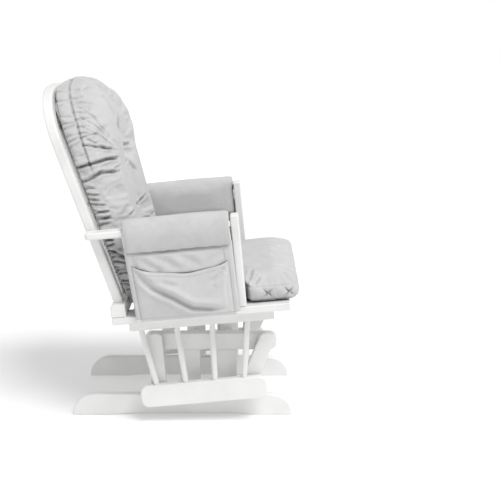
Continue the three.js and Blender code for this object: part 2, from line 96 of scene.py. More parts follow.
def shaded(tree, inputs):
    """Ends a material with its shader, fed by these inputs, and the output."""
    body = add(tree, "ShaderNodeBsdfPrincipled", inputs)
    add(tree, "ShaderNodeOutputMaterial", {"Surface": body.outputs[0]})


def noise(tree, where, size, inputs):
    """Noise with patches about so many millimetres across."""
    inputs = {"Vector": where.outputs["Object"], "Scale": 1000 / size} | inputs
    return add(tree, "ShaderNodeTexNoise", inputs)


def waves(tree, where, apart, way, inputs):
    """Straight bands about so many millimetres apart."""
    inputs = {"Vector": where.outputs["Object"], "Scale": 1000 / apart / 20} | inputs
    return add(tree, "ShaderNodeTexWave", inputs, wave_type="BANDS", bands_direction=way)


def ramp(tree, value, dark, light, low=0.0, high=1.0):
    """A colour that goes from dark to light as a value goes from low to high."""
    tone = add(tree, "ShaderNodeValToRGB", {"Fac": value})
    for stop, code, place in zip(tone.color_ramp.elements, (dark, light), (low, high)):
        stop.color = linear(code)
        stop.position = place
    return tone.outputs[0]


def spread(tree, value, low, high):
    """A value that goes from low to high as another goes from 0 to 1."""
    return add(tree, "ShaderNodeMapRange", {"Value": value, "To Min": low, "To Max": high}).outputs[0]


def bumped(tree, height, strength, deep, inputs=None):
    """A normal that leans as if the surface had this relief, so many metres deep."""
    inputs = {"Height": height, "Strength": strength, "Distance": deep} | (inputs or {})
    return add(tree, "ShaderNodeBump", inputs).outputs[0]


# %% Camera
LENS = 67.26
CAMERA_AT = (-2.8717, -0.2299, 1.1911)
CAMERA_PITCH = 13.83
camera = bpy.data.objects.new("camera", bpy.data.cameras.new("camera"))
camera.data.lens = LENS
camera.data.sensor_width = 36.0
camera.location = CAMERA_AT
camera.rotation_euler = (math.radians(90 - CAMERA_PITCH), 0.0, math.radians(-90))
scene = bpy.context.scene
scene.collection.objects.link(camera)
scene.camera = camera
print("lens", LENS, "mm, pitched down", CAMERA_PITCH, "degrees")

# %% Light
world = bpy.data.worlds.new("white_sweep")
scene.world = world
world.use_nodes = True
world.node_tree.nodes.clear()
seen = add(world.node_tree, "ShaderNodeBackground", {"Color": linear("FFFFFF"), "Strength": 1.0})
glow = add(world.node_tree, "ShaderNodeBackground", {"Color": linear("FFFFFF"), "Strength": 0.60})
ray = add(world.node_tree, "ShaderNodeLightPath")
sweep = add(world.node_tree, "ShaderNodeMixShader",
            {0: ray.outputs["Is Camera Ray"], 1: glow.outputs[0], 2: seen.outputs[0]})
add(world.node_tree, "ShaderNodeOutputWorld", {"Surface": sweep.outputs[0]})
scene.view_settings.view_transform = "Standard"
KEY_TILT = (math.radians(31), 0.0, math.radians(-44))
key = bpy.data.lights.new("key_softbox", "SUN")
key.energy = 2.35
key.angle = math.radians(28)
key_stand = bpy.data.objects.new("key_softbox", key)
key_stand.rotation_euler = KEY_TILT
scene.collection.objects.link(key_stand)
print("key light tilted", [round(math.degrees(a)) for a in KEY_TILT], "degrees")

# %% [markdown]
# The pieces are drawn in the seat's own frame, in millimetres: x to the sitter's left, u forwards and v up
# from the top of the side rails. The whole seat leans back by a few degrees, so one function turns
# such points into the frame's metres, and another turns them back.

# %% The seat's own frame
SEAT_TILT = math.radians(5.2)
SEAT_HEIGHT = 371.4
DEPTH_CENTRE = 20.97
MM = 0.001
CLEARANCE = 0.8  # mm left between a cushion and the boards that it rests on


def on_seat(x, u, v):
    """Points of the seat's own frame as row-frame points in metres."""
    x, u, v = np.broadcast_arrays(*(np.asarray(a, float) for a in (x, u, v)))
    y = -u * math.cos(SEAT_TILT) + v * math.sin(SEAT_TILT) - DEPTH_CENTRE
    z = u * math.sin(SEAT_TILT) + v * math.cos(SEAT_TILT) + SEAT_HEIGHT
    return np.stack([x, y, z], -1) * MM


def off_seat(points):
    """The other way: x, u and v in millimetres of points given in metres."""
    x, y, z = (np.asarray(points) / MM).T
    y, z = y + DEPTH_CENTRE, z - SEAT_HEIGHT
    u = -y * math.cos(SEAT_TILT) + z * math.sin(SEAT_TILT)
    return x, u, y * math.sin(SEAT_TILT) + z * math.cos(SEAT_TILT)


# %% Making meshes
def piece(name, points, faces):
    """A new object from points in metres and faces."""
    mesh = bpy.data.meshes.new(name)
    mesh.from_pydata(np.asarray(points).reshape(-1, 3).tolist(), [], faces)
    mesh.update()
    made = bpy.data.objects.new(name, mesh)
    scene.collection.objects.link(made)
    return made


def quads(rows, columns, round_columns=False):
    """The faces of a grid of points, joined round its columns where it is a tube."""
    last = columns if round_columns else columns - 1
    return [
        (r * columns + c, r * columns + (c + 1) % columns,
         (r + 1) * columns + (c + 1) % columns, (r + 1) * columns + c)
        for r in range(rows - 1) for c in range(last)
    ]


def loft(name, rings):
    """A closed body through a stack of rings, each end closed by a fan."""
    rings = np.asarray(rings, float)
    rows, columns = rings.shape[:2]
    faces = quads(rows, columns, True)
    first, last = rows * columns, rows * columns + 1
    faces += [(first, (c + 1) % columns, c) for c in range(columns)]
    top = (rows - 1) * columns
    faces += [(last, top + c, top + (c + 1) % columns) for c in range(columns)]
    points = np.concatenate([rings.reshape(-1, 3), [rings[0].mean(0)], [rings[-1].mean(0)]])
    made = piece(name, points, faces)
    face_outwards(made)
    return made


def face_outwards(made):
    """Turns the faces of a closed body so that they all look out."""
    work = bmesh.new()
    work.from_mesh(made.data)
    bmesh.ops.recalc_face_normals(work, faces=work.faces)
    work.to_mesh(made.data)
    work.free()


def settle_modifiers(made):
    """Keeps what the modifiers make as the piece's own mesh."""
    bpy.context.view_layer.update()
    graph = bpy.context.evaluated_depsgraph_get()
    mesh = bpy.data.meshes.new_from_object(made.evaluated_get(graph))
    made.modifiers.clear()
    old, made.data = made.data, mesh
    bpy.data.meshes.remove(old)
    mesh.name = made.name
    return made


def read_rows(items, field):
    """A three-number field of many mesh items, as rows."""
    flat = np.empty(len(items) * 3, np.float32)
    items.foreach_get(field, flat)
    return flat.reshape(-1, 3).astype(float)


def points_of(made):
    return read_rows(made.data.vertices, "co")


def normals_of(made):
    return read_rows(made.data.vertex_normals, "vector")


def set_points(made, points):
    made.data.vertices.foreach_set("co", np.asarray(points, np.float32).ravel())
    made.data.update()


def smooth_shading(made):
    made.data.polygons.foreach_set("use_smooth", [True] * len(made.data.polygons))
    made.data.update()


def remeshed(made, voxel):
    """The same body with an even mesh, which cloth needs."""
    change = made.modifiers.new("even", "REMESH")
    change.mode = "VOXEL"
    change.voxel_size = voxel * MM
    return settle_modifiers(made)


def subdivided(made, levels=1):
    change = made.modifiers.new("finer", "SUBSURF")
    change.levels = change.render_levels = levels
    return settle_modifiers(made)


def relaxed(made, factor, times):
    change = made.modifiers.new("relax", "SMOOTH")
    change.factor = factor
    change.iterations = times
    return settle_modifiers(made)


def covered(made, finish):
    """Gives a sewn piece its smooth shading and its finish, and lets it ride on the seat."""
    smooth_shading(made)
    made.data.materials.clear()
    made.data.materials.append(finish)
    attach(made, "seat")
    return made


# %% [markdown]
# A cushion is a sewn cover blown tight by its filling. Cloth under air pressure does the same: the seams and
# the tufting threads hold still, and the cover between them swells and puckers. The cover is cut a little
# too large, so that it gathers at its seams. No point may move further than a cap, so the size stays right.

# %% Filling a cover
FILL_FRAMES = 20


def filled(made, held, pressure, cap, spare=0.0, limp=0.3):
    """Blows up a closed cover. held is 1 where the cover can't move, and cap is in millimetres."""
    group = made.vertex_groups.new(name="held")
    for index in np.nonzero(held > 0.01)[0]:
        group.add([int(index)], float(held[index]), "REPLACE")
    start = points_of(made)
    cloth = made.modifiers.new("cover", "CLOTH")
    cloth.settings.quality = 5
    cloth.settings.mass = 0.3
    cloth.settings.tension_stiffness = cloth.settings.compression_stiffness = 15
    cloth.settings.bending_stiffness = limp
    cloth.settings.use_pressure = True
    cloth.settings.uniform_pressure_force = pressure
    cloth.settings.shrink_min = -spare
    cloth.settings.vertex_group_mass = "held"
    cloth.settings.effector_weights.gravity = 0
    cloth.collision_settings.use_collision = False
    cloth.point_cache.frame_start, cloth.point_cache.frame_end = 1, FILL_FRAMES
    for number in range(1, FILL_FRAMES + 1):
        scene.frame_set(number)
    graph = bpy.context.evaluated_depsgraph_get()
    moved = points_of(made.evaluated_get(graph)) - start
    far = np.linalg.norm(moved, axis=1)
    moved *= np.minimum(1.0, cap * MM / np.maximum(far, 1e-9))[:, None]
    made.modifiers.clear()
    made.vertex_groups.clear()
    set_points(made, start + moved)
    scene.frame_set(1)
    print(made.name, "swelled by", round(float(np.percentile(far, 95)) / MM, 1), "mm at most places")
    return made


# %% Folds and seams
def hill(away, width):
    """1 where away is 0, falling off like a bell on both sides."""
    return np.exp(-((away / width) ** 2))


def lengths_along(line):
    """How far each point of a line lies from its start."""
    return np.concatenate([[0], np.cumsum(np.linalg.norm(np.diff(line, axis=0), axis=1))])


def closed_curve(points, count):
    """A closed ring of points in a plane, spaced evenly."""
    ring = np.vstack([points, points[:1]])
    reached = lengths_along(ring)
    even = np.linspace(0, reached[-1], count, endpoint=False)
    return np.stack([np.interp(even, reached, ring[:, k]) for k in (0, 1)], -1)


def beside(across, along, path):
    """How far points lie from a path in a plane, how far along it from 0 to 1, and on which side."""
    path = np.asarray(path, float)
    reached = lengths_along(path)
    reached = reached / reached[-1]
    nearest = np.full(np.shape(across), 1e9)
    share = np.zeros(np.shape(across))
    hand = np.zeros(np.shape(across))
    for k, (a, b) in enumerate(zip(path, path[1:])):
        way = b - a
        t = ((across - a[0]) * way[0] + (along - a[1]) * way[1]) / (way @ way)
        t = np.clip(t, 0, 1)
        gap = np.hypot(across - a[0] - t * way[0], along - a[1] - t * way[1])
        closer = gap < nearest
        nearest = np.where(closer, gap, nearest)
        share = np.where(closer, reached[k] + t * (reached[k + 1] - reached[k]), share)
        turned = way[0] * (along - a[1]) - way[1] * (across - a[0])
        hand = np.where(closer, np.sign(turned), hand)
    return nearest, share, hand


def crease(across, along, path, width, lip=0.25, fade=0.15, tuck=0.0):
    """A fold's depth, 1 in its bed: a valley with a raised lip each side, shallower at its ends.
    With a tuck, the cloth on the path's left bulges over the fold, which gives it a hard dark line."""
    away, share, hand = beside(across, along, path)
    ends = np.clip(np.minimum(share, 1 - share) / fade, 0, 1) ** 0.7
    valley = hill(away, width)
    ridge = hill(away - 2.1 * width, width)
    over = 0.5 * (1 + np.tanh(hand * away / (0.6 * width))) * hill(away, 3.4 * width)
    return (0.15 + 0.85 * ends) * valley - ends * (lip * ridge + tuck * over)


def step(value, low, high):
    """0 below low and 1 above high, with a soft rise between."""
    t = np.clip((value - low) / (high - low), 0, 1)
    return t * t * (3 - 2 * t)


def profile(at, heights, widths):
    """A measure read off a list, straight between its entries."""
    return np.interp(at, heights, widths)

# %% [markdown]
# ## Finishes
# The boards are solid wood, sanded, filled and sprayed with a satin white lacquer. The eye sees an even
# white with a soft sheen, the faint ripple that a spray gun leaves, and film worn thin along the corners.

# %% Satin white lacquer
RIPPLE = 3.0  # mm from crest to crest of the sprayed film
SHADE = 90.0  # mm across the faint patches where the film is thicker


def white_lacquer():
    made, tree = material("satin_white_lacquer_on_wood")
    where = add(tree, "ShaderNodeTexCoord")
    patches = noise(tree, where, SHADE, {"Detail": 3.0})
    film = ramp(tree, patches.outputs["Fac"], "E0E0DF", "E8E8E7", 0.3, 0.7)
    corner = add(tree, "ShaderNodeBevel", {"Radius": 1.6 * MM}, samples=4)
    flat = add(tree, "ShaderNodeNewGeometry")
    turn = add(tree, "ShaderNodeVectorMath",
               {0: corner.outputs[0], 1: flat.outputs["Normal"]}, operation="DOT_PRODUCT")
    worn = add(tree, "ShaderNodeMapRange", {"Value": turn.outputs["Value"], "From Min": 1.0,
                                            "From Max": 0.86, "To Min": 0.0, "To Max": 0.35})
    rubbed = add(tree, "ShaderNodeMix",
                 {0: worn.outputs[0], 6: film, 7: linear("D9D7D2")},
                 data_type="RGBA")
    ripple = noise(tree, where, RIPPLE, {"Detail": 1.0}).outputs["Fac"]
    relief = bumped(tree, ripple, 0.25, 0.05 * MM, {"Normal": corner.outputs[0]})
    sheen = spread(tree, patches.outputs["Fac"], 0.30, 0.42)
    shaded(tree, {"Base Color": rubbed.outputs[2], "Roughness": sheen, "IOR": 1.5, "Normal": relief})
    return made


# %% [markdown]
# The pivot pins are turned steel with a thin coat of zinc: a grey metal with fine rings from the lathe,
# and a slightly cloudy shine.

# %% Zinc plated steel
LATHE_RINGS = 0.8  # mm apart, drawn coarser than the real 0.2 mm so that they show
ZINC_CLOUD = 4.0  # mm across the cloudy patches


def zinc_steel():
    made, tree = material("zinc_plated_turned_steel")
    where = add(tree, "ShaderNodeTexCoord")
    rings = waves(tree, where, LATHE_RINGS, "X", {"Distortion": 0.4, "Detail": 1.0})
    cloud = noise(tree, where, ZINC_CLOUD, {"Detail": 3.0}).outputs["Fac"]
    shine = spread(tree, cloud, 0.28, 0.46)
    tone = ramp(tree, cloud, "AEB2B6", "CDD0D2")
    relief = bumped(tree, rings.outputs["Fac"], 0.4, 0.03 * MM)
    shaded(tree, {"Base Color": tone, "Metallic": 1.0, "Roughness": shine, "Normal": relief})
    return made


# %% [markdown]
# The covers are polyester microfibre suede. Its threads are far too fine to see, but the brushed nap
# lies one way here and another way there, so it looks clouded, and it glows a little at grazing angles.
# The side cloths are the same stuff without padding, so their even weave shows a little more.

# %% Grey microfibre suede
NAP_PATCH = 45.0  # mm across the patches where the nap lies one way
NAP_FLECK = 2.6   # mm, drawn coarser than the real half millimetre so that it shows
THREAD = 1.6      # mm between threads, drawn coarser than the real 0.3 mm for the same reason
PAINTED_SHADE_REACH = 16.0  # mm: cloth closer than this to other cloth lies in a fold, and its colour is painted darker there as shade
# The dark grey that is painted into the folds as their shade
PAINTED_FOLD_SHADE = "6E6E6F"


def microfibre(name, dark, light, weave):
    made, tree = material(name)
    where = add(tree, "ShaderNodeTexCoord")
    nap = noise(tree, where, NAP_PATCH, {"Detail": 4.0, "Roughness": 0.6, "Distortion": 0.8})
    fleck = noise(tree, where, NAP_FLECK, {"Detail": 3.0, "Roughness": 0.65})
    lie = add(tree, "ShaderNodeMath", {0: nap.outputs["Fac"], 1: fleck.outputs["Fac"]},
              operation="MULTIPLY")
    tone = ramp(tree, lie.outputs[0], dark, light, 0.12, 0.42)
    # Painted shade: where other cloth lies close, as in folds and creases, the colour is darkened towards a
    # dark grey that stands in for the shade there.
    fold_occlusion = add(tree, "ShaderNodeAmbientOcclusion", {"Distance": PAINTED_SHADE_REACH * MM}, samples=6)
    painted_shade_amount = add(tree, "ShaderNodeMapRange", {"Value": fold_occlusion.outputs["AO"], "From Min": 0.30,
                                            "From Max": 0.90, "To Min": 1.0, "To Max": 0.0})
    tone_with_painted_shade = add(tree, "ShaderNodeMix", {0: painted_shade_amount.outputs[0], 6: tone, 7: linear(PAINTED_FOLD_SHADE)},
                 data_type="RGBA")
    across, upright = (waves(tree, where, THREAD, way, {"Distortion": 0.3}) for way in "YZ")
    threads = add(tree, "ShaderNodeMath", {0: across.outputs["Fac"], 1: upright.outputs["Fac"]},
                  operation="MAXIMUM")
    height = add(tree, "ShaderNodeMath", {0: threads.outputs[0], 1: weave,
                                          2: fleck.outputs["Fac"]}, operation="MULTIPLY_ADD")
    relief = bumped(tree, height.outputs[0], 0.55, 0.35 * MM)
    rough = spread(tree, nap.outputs["Fac"], 0.78, 0.96)
    shaded(tree, {"Base Color": tone_with_painted_shade.outputs[2], "Roughness": rough, "IOR": 1.45,
                  "Specular IOR Level": 0.25, "Sheen Weight": 0.22, "Sheen Roughness": 0.45,
                  "Sheen Tint": linear("FFFFFF"), "Normal": relief})
    return made


# %% [markdown]
# The seams are sewn with spun polyester thread of nearly the cover's colour: matt, twisted, and a little
# lighter than the cloth, so that a row of stitches catches the light.

# %% Polyester sewing thread
TWIST = 1.0  # mm from one turn of the twist to the next


def sewing_thread():
    made, tree = material("spun_polyester_thread")
    where = add(tree, "ShaderNodeTexCoord")
    twist = waves(tree, where, TWIST, "DIAGONAL", {"Distortion": 1.0}).outputs["Fac"]
    tone = ramp(tree, twist, "AFB1B4", "D4D5D7")
    relief = bumped(tree, twist, 0.5, 0.1 * MM)
    shaded(tree, {"Base Color": tone, "Roughness": 0.7, "IOR": 1.5, "Sheen Weight": 0.2,
                  "Normal": relief})
    return made


# %% [markdown]
# The sweep under the chair is a matt, pale sheet of opal acrylic with only the faintest mottling.
# It is lit a little from below, as on a light table.

# %% Pale floor
FLOOR_SIDE = 24.0      # m
FLOOR_MOTTLE = 500.0   # mm across the mottled patches
FLOOR_GLOW = 0.22


def opal_sheet():
    made, tree = material("matt_opal_acrylic")
    where = add(tree, "ShaderNodeTexCoord")
    mottle = noise(tree, where, FLOOR_MOTTLE, {})
    tone = ramp(tree, mottle.outputs["Fac"], "DFDFDF", "E3E3E3")
    shaded(tree, {"Base Color": tone, "Roughness": 0.9, "Specular IOR Level": 0.1,
                  "Emission Color": linear("FFFFFF"), "Emission Strength": FLOOR_GLOW})
    return made


half = FLOOR_SIDE / 2
floor = piece("floor", [(-half, -half, 0), (half, -half, 0), (half, half, 0), (-half, half, 0)],
              [(0, 1, 2, 3)])
floor.data.materials.append(opal_sheet())

# %% The finishes on the frame
LACQUER = white_lacquer()
SUEDE = microfibre("grey_microfibre_suede", "BABABA", "C8C8C8", 0.15)
SIDE_CLOTH = microfibre("grey_microfibre_cloth", "BEBEBE", "CACACA", 0.6)
THREAD_FINISH = sewing_thread()
FINISHES = {
    "white_painted_wood": LACQUER,
    "zinc_steel": zinc_steel(),
    "grey_fabric": SUEDE,
}
for part in frame["record"]["subparts"]:
    board = bpy.data.objects[part["node"]]
    for place in board.material_slots:
        place.material = FINISHES[part["material_slot"]]

# %% [markdown]
# ## The back cushion
# The back cushion is a deep, soft pillow with a rounded top like the hoop behind it. A narrow side band is
# sewn round it, and tufting threads pull its middle in at two heights. The front cover is gathered into the
# side seam, so small folds fan out from it, and deeper ones run from the sides in to the threads.
# It starts as a stack of rings up the back, is filled as cloth, and then gets its folds pressed in.

# %% The back's own measures
BACK_LEAN = math.tan(math.radians(13.6))
HOOP_FACE = 147.29  # mm that the hoop's front face stands behind u = 0, at v = 0
BACK_FOOT = 20.0
BACK_TOP = 672.0
BACK_HALF = 253.0
BACK_SPRING = 462.0
ROUND = 2.35
SWELL = 7.0  # mm left for the filling


def off_hoop(x, v, d):
    """Row-frame points of the back: x, height v and depth d in front of the hoop, in millimetres."""
    v = np.asarray(v, float)
    return on_seat(x, np.asarray(d, float) - HOOP_FACE - BACK_LEAN * v, v)


def half_width(v):
    """Half the back cushion's width at height v: straight sides under a round top."""
    rise = np.clip((v - BACK_SPRING) / (BACK_TOP - BACK_SPRING), 0, 1)
    waist = BACK_HALF - 26 * (1 - step(v, BACK_FOOT, BACK_FOOT + 130))
    return np.where(v > BACK_SPRING, BACK_HALF * (1 - rise**ROUND) ** (1 / ROUND), waist)


def front_depth(v):
    """How far the pillow's front stands off the hoop at height v."""
    return profile(v, [46, 100, 200, 320, 430, 505, 546, 610, 656, 672],
                   [58, 94, 111, 119, 130, 147, 150, 138, 108, 68])


def seam_depth(v):
    """How far the side seam stands off the hoop at height v."""
    return profile(v, [46, 300, 560, 672], [34, 46, 53, 46])


def rear_depth(v):
    """The cushion's back, flat on the slats and rounded away at the top."""
    return profile(v, [46, 620, 650, 664, 672], [2, 2, 6, 18, 44])


# %% The cover before filling
def power(value, exponent):
    return np.sign(value) * np.abs(value) ** exponent


def back_cover():
    heights = BACK_FOOT + (BACK_TOP - BACK_FOOT) * np.sin(np.linspace(0, 1, 90) * math.pi / 2) ** 0.9
    around = np.linspace(0, 2 * math.pi, 120, endpoint=False)
    front = np.sin(around) >= 0
    rings = []
    for v in heights:
        half = max(float(half_width(v)) - SWELL * 0.4, 6.0)
        seam, crown, rear = float(seam_depth(v)), float(front_depth(v)) - SWELL, float(rear_depth(v))
        x = half * np.where(front, power(np.cos(around), 0.60), power(np.cos(around), 0.25))
        d = np.where(front, seam + (crown - seam) * np.abs(np.sin(around)) ** 0.60,
                     seam - (seam - rear) * np.abs(np.sin(around)) ** 0.25)
        rings.append(off_hoop(x, v, d))
    return loft("back_cushion_cover", rings)


def on_back(made):
    """A back piece's points as x, height and depth off the hoop, in millimetres."""
    x, u, v = off_seat(points_of(made))
    return x, v, u + HOOP_FACE + BACK_LEAN * v


def push_back(made, deeper):
    """Moves the points of a back piece along its depth by so many millimetres."""
    x, v, d = on_back(made)
    set_points(made, off_hoop(x, v, d + deeper))


def press(made, depth):
    """Moves the points of a piece along its own normals by so many millimetres, outwards where positive."""
    set_points(made, points_of(made) + normals_of(made) * (np.asarray(depth) * MM)[:, None])


# %% Tufts, lobes and the first filling
TUFTS = [(0.0, 446.0, 30.0), (0.0, 246.0, 30.0)]  # x, v and the pull of each thread in mm


def front_share(v, d):
    """1 on the front cover, 0 on the side band and the rear."""
    return step(d - seam_depth(v), 0.0, 12.0)


def pull_tufts(made):
    """The threads' pull, with the shallow valley that joins them and the one across at the waist."""
    x, v, d = on_back(made)
    deep = np.zeros_like(x)
    for at, height, pull in TUFTS:
        away = np.hypot(x - at, (v - height) * 0.9)
        deep += pull * (0.62 * np.exp(-((away / 30) ** 1.3)) + 0.38 * hill(away, 85))
    lobes = hill(np.abs(x) - 118, 62) * step(v, 130, 240) * (1 - step(v, 580, 650))
    spine = hill(x, 62) * step(v, 90, 200) * (1 - step(v, 520, 620))
    parting = hill(x, 42) * step(v, 400, 450) * (1 - step(v, 560, 640))
    lean = hill(v - 448, 30) * step(np.abs(x), 90, 200)
    deep += 17 * spine + 8 * parting + 3 * lean - 6 * lobes
    push_back(made, -deep * front_share(v, d))


back_cushion = remeshed(back_cover(), 5.0)
back_cushion.name = "back_cushion_cover"
relaxed(back_cushion, 0.5, 4)
pull_tufts(back_cushion)
x, v, d = on_back(back_cushion)
off_seam = np.hypot(np.abs(x) - half_width(v), (d - seam_depth(v)) * 0.8)
held = hill(off_seam, 5) * step(np.abs(x), 20, 60)
for at, height, pull in TUFTS:
    held = np.maximum(held, hill(np.hypot(x - at, v - height), 12) * (d > 60))
held = np.maximum(held, (d < 9) * 1.0)
filled(back_cushion, held, pressure=3.2, cap=9, spare=0.05, limp=0.15)
subdivided(back_cushion)
print("back cushion:", len(back_cushion.data.vertices), "points")

# %% [markdown]
# The deep folds are pressed in one by one: each is a path over the cover with a width and a depth in
# millimetres. On the front they run out from the two tufting threads, placed so that no two match.

# %% Folds of the back cushion
def fold_front(made, folds):
    """Presses folds given as a path of (x, v), a width and a depth, into the front cover."""
    x, v, d = on_back(made)
    deep = np.zeros_like(x)
    for path, width, depth in folds:
        deep += 1.3 * depth * crease(x, v, path, width, tuck=0.40)
    press(made, -deep * front_share(v, d))


FRONT_FOLDS = [
    ([(0, 446), (22, 470), (44, 505), (60, 550)], 5.0, 6.0),
    ([(0, 446), (-24, 474), (-44, 515), (-58, 576)], 5.0, 6.0),
    ([(0, 446), (-60, 462), (-120, 478)], 4.0, 5.0),
    ([(0, 446), (40, 456), (96, 452)], 5.0, 5.0),
    ([(0, 446), (-50, 440), (-140, 428)], 4.5, 6.0),
    ([(0, 446), (-14, 400), (-8, 340)], 7.0, 4.0),
    ([(0, 446), (34, 412), (64, 366)], 6.0, 5.0),
    ([(0, 446), (6, 486), (4, 540)], 5.0, 4.0),
    ([(0, 246), (-30, 222), (-90, 200), (-150, 196)], 5.0, 6.0),
    ([(0, 246), (-26, 270), (-80, 292), (-150, 300)], 4.5, 7.0),
    ([(0, 246), (34, 268), (90, 284)], 5.0, 5.0),
    ([(0, 246), (38, 220), (110, 204)], 5.0, 6.0),
    ([(0, 246), (4, 200), (-6, 150)], 7.0, 4.0),
    ([(0, 246), (8, 290), (2, 340)], 7.0, 3.0),
]
fold_front(back_cushion, FRONT_FOLDS)

# %% [markdown]
# On the pillow's two bulging sides the folds run fore and aft, so their paths are given in depth and height.
# Only the large ones are listed one by one: two deep ones at the waist, where the pillow bends, a few shorter
# ones on the right, and a fan that closes up towards the upper tuft. No two sides fold alike, so the left
# has its own. The small gathers between them all come from one rule with seeded draws.

# %% Folds of the two sides
draw = np.random.default_rng(11)


def gathers(low, high, start, depths):
    """Small folds one above another, at seeded heights, slants and bends."""
    made = []
    height = low
    while height < high:
        reach = draw.uniform(32, 54)
        slant, bend = draw.uniform(-0.22, 0.22), draw.uniform(-5, 5)
        path = [(start, height), (start + reach / 2, height + slant * reach / 2 + bend),
                (start + reach, height + slant * reach)]
        made.append((path, draw.uniform(2.6, 3.6), draw.uniform(*depths)))
        height += draw.uniform(11, 21)
    return made


RIGHT_LARGE = [  # each: points of depth and height, then width and depth of the fold
    ([(-6, 435), (50, 445), (100, 452), (138, 446)], 4.2, 11.0),
    ([(0, 394), (30, 400), (70, 418), (118, 410)], 4.2, 9.5),
    ([(104, 420), (140, 428)], 3.0, 5.0),
    ([(50, 500), (85, 490), (124, 478)], 3.2, 6.0),
    ([(100, 280), (134, 300)], 3.6, 7.0),
    ([(5, 290), (55, 285)], 4.0, 8.5),
    ([(0, 200), (28, 182), (60, 158)], 5.0, 12.0),
]
LEFT_LARGE = [
    ([(0, 442), (52, 448), (104, 440), (134, 446)], 4.2, 7.0),
    ([(0, 386), (40, 398), (92, 404)], 4.0, 7.0),
]
FAN = [([(65, foot), (102, foot - 30), (146, 460)], 2.8, 2.2) for foot in (604, 578, 550, 516)]
GATHER_ZONES = [  # each: from and to what height, the depth where the gathers start, and how deep they are
    (62.0, 250.0, 2.0, (5.5, 10.0)),
    (250.0, 385.0, 6.0, (4.0, 7.0)),
    (500.0, 650.0, 50.0, (2.6, 4.6)),
]
right_folds = RIGHT_LARGE + FAN + [fold for zone in GATHER_ZONES for fold in gathers(*zone)]
left_folds = LEFT_LARGE + FAN + [fold for zone in GATHER_ZONES for fold in gathers(*zone)]
print(len(right_folds), "folds on the right side and", len(left_folds), "on the left")


WALL_DEEP = 42.0  # mm in from the side that the folds reach at full depth


def fold_side(made, side, folds):
    """Presses folds given in depth and height into one bulging side."""
    x, v, d = on_back(made)
    inside = half_width(v) - side * x
    wall = 1 - step(inside, WALL_DEEP, 2 * WALL_DEEP)
    deep = np.zeros_like(x)
    for path, width, depth in folds:
        deep += depth * crease(d, v, path, width, lip=0.22, tuck=0.40)
    press(made, -deep * wall * step(d, 0, 7))


fold_side(back_cushion, -1, right_folds)
fold_side(back_cushion, 1, left_folds)


# %% The side band and its seams
def side_band(made):
    """Sinks the seams, bulges the band between them and puckers it across."""
    x, v, d = on_back(made)
    edge = np.abs(x) - half_width(v)
    on_side = step(edge, -26, -10)
    seam = hill(d - seam_depth(v), 2.6) * on_side
    beside_seam = hill(d - seam_depth(v) - 7.0, 4.0) * on_side
    band = on_side * step(d, 4, 12) * (1 - step(d - seam_depth(v), -8, -1))
    pucker = np.zeros_like(x)
    height = 470.0
    while height < 650:
        tilt = draw.uniform(-0.1, 0.45)
        line = v - height - tilt * d
        pucker += draw.uniform(1.6, 4.4) * hill(line, draw.uniform(2.4, 3.6))
        height += draw.uniform(12, 24)
    sewn = step(v, 380, 470)
    press(made, sewn * (-3.6 * seam + 1.6 * beside_seam) + band * (2.2 * sewn - pucker))


def ruffle(made):
    """The loose hem of the cover under the side seam, waved like a frill."""
    x, v, d = on_back(made)
    low = 1 - step(v, BACK_FOOT + 4, BACK_FOOT + 46)
    wave = np.sin(x / 7.5 + 1.7 * np.sin(x / 31.0)) + 0.6 * np.sin(d / 6.0 + x / 19.0)
    press(made, 3.4 * low * wave)


def clear_of_the_hoop(made):
    """Keeps the cushion's back in front of the hoop and the slats, and low down of the rear rail."""
    x, v, d = on_back(made)
    least = CLEARANCE + 9.0 * (1 - step(v, 39, 54))
    set_points(made, off_hoop(x, v, np.maximum(d, least)))


side_band(back_cushion)
ruffle(back_cushion)
clear_of_the_hoop(back_cushion)
covered(back_cushion, SUEDE)
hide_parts("back_cushion")

# %% [markdown]
# ## The seat cushion
# The seat cushion is a boxed cushion in the shape of a wide T: its front corners reach out past the arm
# posts. A side band of about five centimetres stands between two seams, and the top is crowned. A few
# stitches through the band pull it in at short steps.

# %% The seat cushion's measures
SEAT_REAR = -76.0
SEAT_FRONT = 356.0
SEAT_HALF = 243.0
WING_HALF = 281.0
WING_REAR = 204.0
SEAT_FOOT = 3.0
BAND_HEIGHT = 50.0
FOOT_TUCK = 0.963  # the flat underside is this much smaller than the outline
CROWN = 39.0
SEAT_MIDDLE = (0.0, 222.0)


def seat_outline(count=160):
    """The T seen from above, as a closed ring of points with rounded corners."""
    corners = [(SEAT_HALF, SEAT_REAR, 40), (SEAT_HALF, WING_REAR, 10), (WING_HALF, WING_REAR, 30),
               (WING_HALF, SEAT_FRONT, 36)]
    corners += [(-x, u, r) for x, u, r in reversed(corners)]
    ring = []
    for k, (x, u, r) in enumerate(corners):
        here = np.array([x, u])
        back = np.array(corners[k - 1][:2]) - here
        ahead = np.array(corners[(k + 1) % len(corners)][:2]) - here
        back, ahead = back / np.linalg.norm(back), ahead / np.linalg.norm(ahead)
        for t in np.linspace(0, 1, 9):
            ring.append(here + back * r * (1 - t) ** 2 + ahead * r * t**2)
    return closed_curve(np.array(ring), count)


OUTLINE = seat_outline()


def inside_edge(x, u):
    """How far a point lies inside the T's outline."""
    return beside(x, u, np.vstack([OUTLINE, OUTLINE[:1]]))[0]


def seat_crown(x, u):
    """The crowned top's height over its seam."""
    side = 1 - np.exp(-np.clip(WING_HALF - np.abs(x), 0, None) / 95)
    ends = 1 - np.exp(-np.clip(SEAT_FRONT - u, 0, None) / 22)
    rear = 1 - np.exp(-np.clip(u - SEAT_REAR, 0, None) / 60)
    return CROWN * side * ends * rear * 1.25


